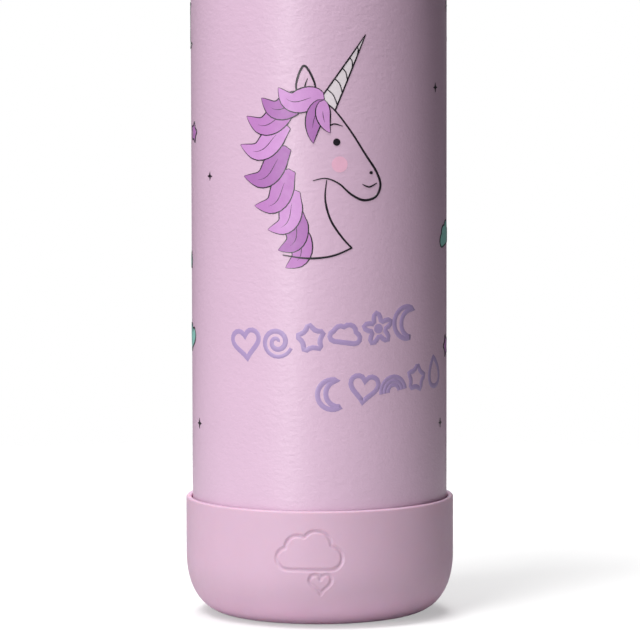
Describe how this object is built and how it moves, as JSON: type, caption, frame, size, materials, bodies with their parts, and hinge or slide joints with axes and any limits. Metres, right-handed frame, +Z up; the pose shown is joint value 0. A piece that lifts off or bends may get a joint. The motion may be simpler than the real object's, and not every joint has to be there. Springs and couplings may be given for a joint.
{
  "type": "insulated kids water bottle",
  "caption": "Double-walled steel drinking bottle with a silicone boot, a screw lid, a flip-up straw spout and a swing carry handle.",
  "frame": {"origin": "centre of the boot's flat underside, where the bottle stands", "axes": "+Z up along the bottle's axis, -Y towards the front with the print, +X to the right seen from the front; the spout and handle fold back towards +Y"},
  "size_m": [0.0716, 0.0716, 0.2155],
  "materials": {
    "powder_steel": "satin powder coat",
    "bare_steel": "fine brushed",
    "boot_silicone": "matte silicone",
    "lid_plastic": "satin moulded",
    "clear_silicone": "soft translucent silicone",
    "straw_plastic": "clear",
    "getter_metal": "sintered",
    "seal_glass": "fused glass solder"
  },
  "bodies": {
    "flask": {"outer_shell": "powder_steel", "outer_base": "bare_steel", "base_cover_disc": "bare_steel", "vacuum_seal_bead": "seal_glass", "getter_tablet": "getter_metal", "getter_clip": "bare_steel", "inner_liner": "bare_steel", "liner_base": "bare_steel"},
    "boot": {"silicone_boot": "boot_silicone"},
    "gasket": {"neck_gasket": "clear_silicone"},
    "lid": {"lid_shell": "lid_plastic", "lid_core": "lid_plastic", "vent_valve": "clear_silicone", "spout_seal": "clear_silicone", "straw_adapter": "clear_silicone", "straw": "straw_plastic", "spout_pin_left": "bare_steel", "spout_pin_right": "bare_steel", "handle_pin_left": "bare_steel", "handle_pin_right": "bare_steel"},
    "spout": {"spout_arm": "lid_plastic", "mouthpiece": "clear_silicone"},
    "handle": {"carry_handle": "lid_plastic"}
  },
  "joints": [
    {"name": "boot_pull", "type": "slide", "parent": "flask", "child": "boot", "axis": [0, 0, -1], "range_m": [0, 0.035]},
    {"name": "lid_lift", "type": "slide", "parent": "flask", "child": "gasket", "axis": [0, 0, 1], "range_m": [0, 0.00601]},
    {"name": "lid_turn", "type": "hinge", "parent": "gasket", "child": "lid", "pos_m": [0, 0, 0.198], "axis": [0, 0, 1], "range_deg": [0, 540]},
    {"name": "spout_flip", "type": "hinge", "parent": "lid", "child": "spout", "pos_m": [0, -0.013, 0.2093], "axis": [1, 0, 0], "range_deg": [0, 90]},
    {"name": "handle_swing", "type": "hinge", "parent": "lid", "child": "handle", "pos_m": [0, 0, 0.206], "axis": [1, 0, 0], "range_deg": [0, 90]}
  ],
  "couplings": [
    {"joint": "lid_lift", "follows": "lid_turn", "m_per_rad": 0.00063662}
  ]
}
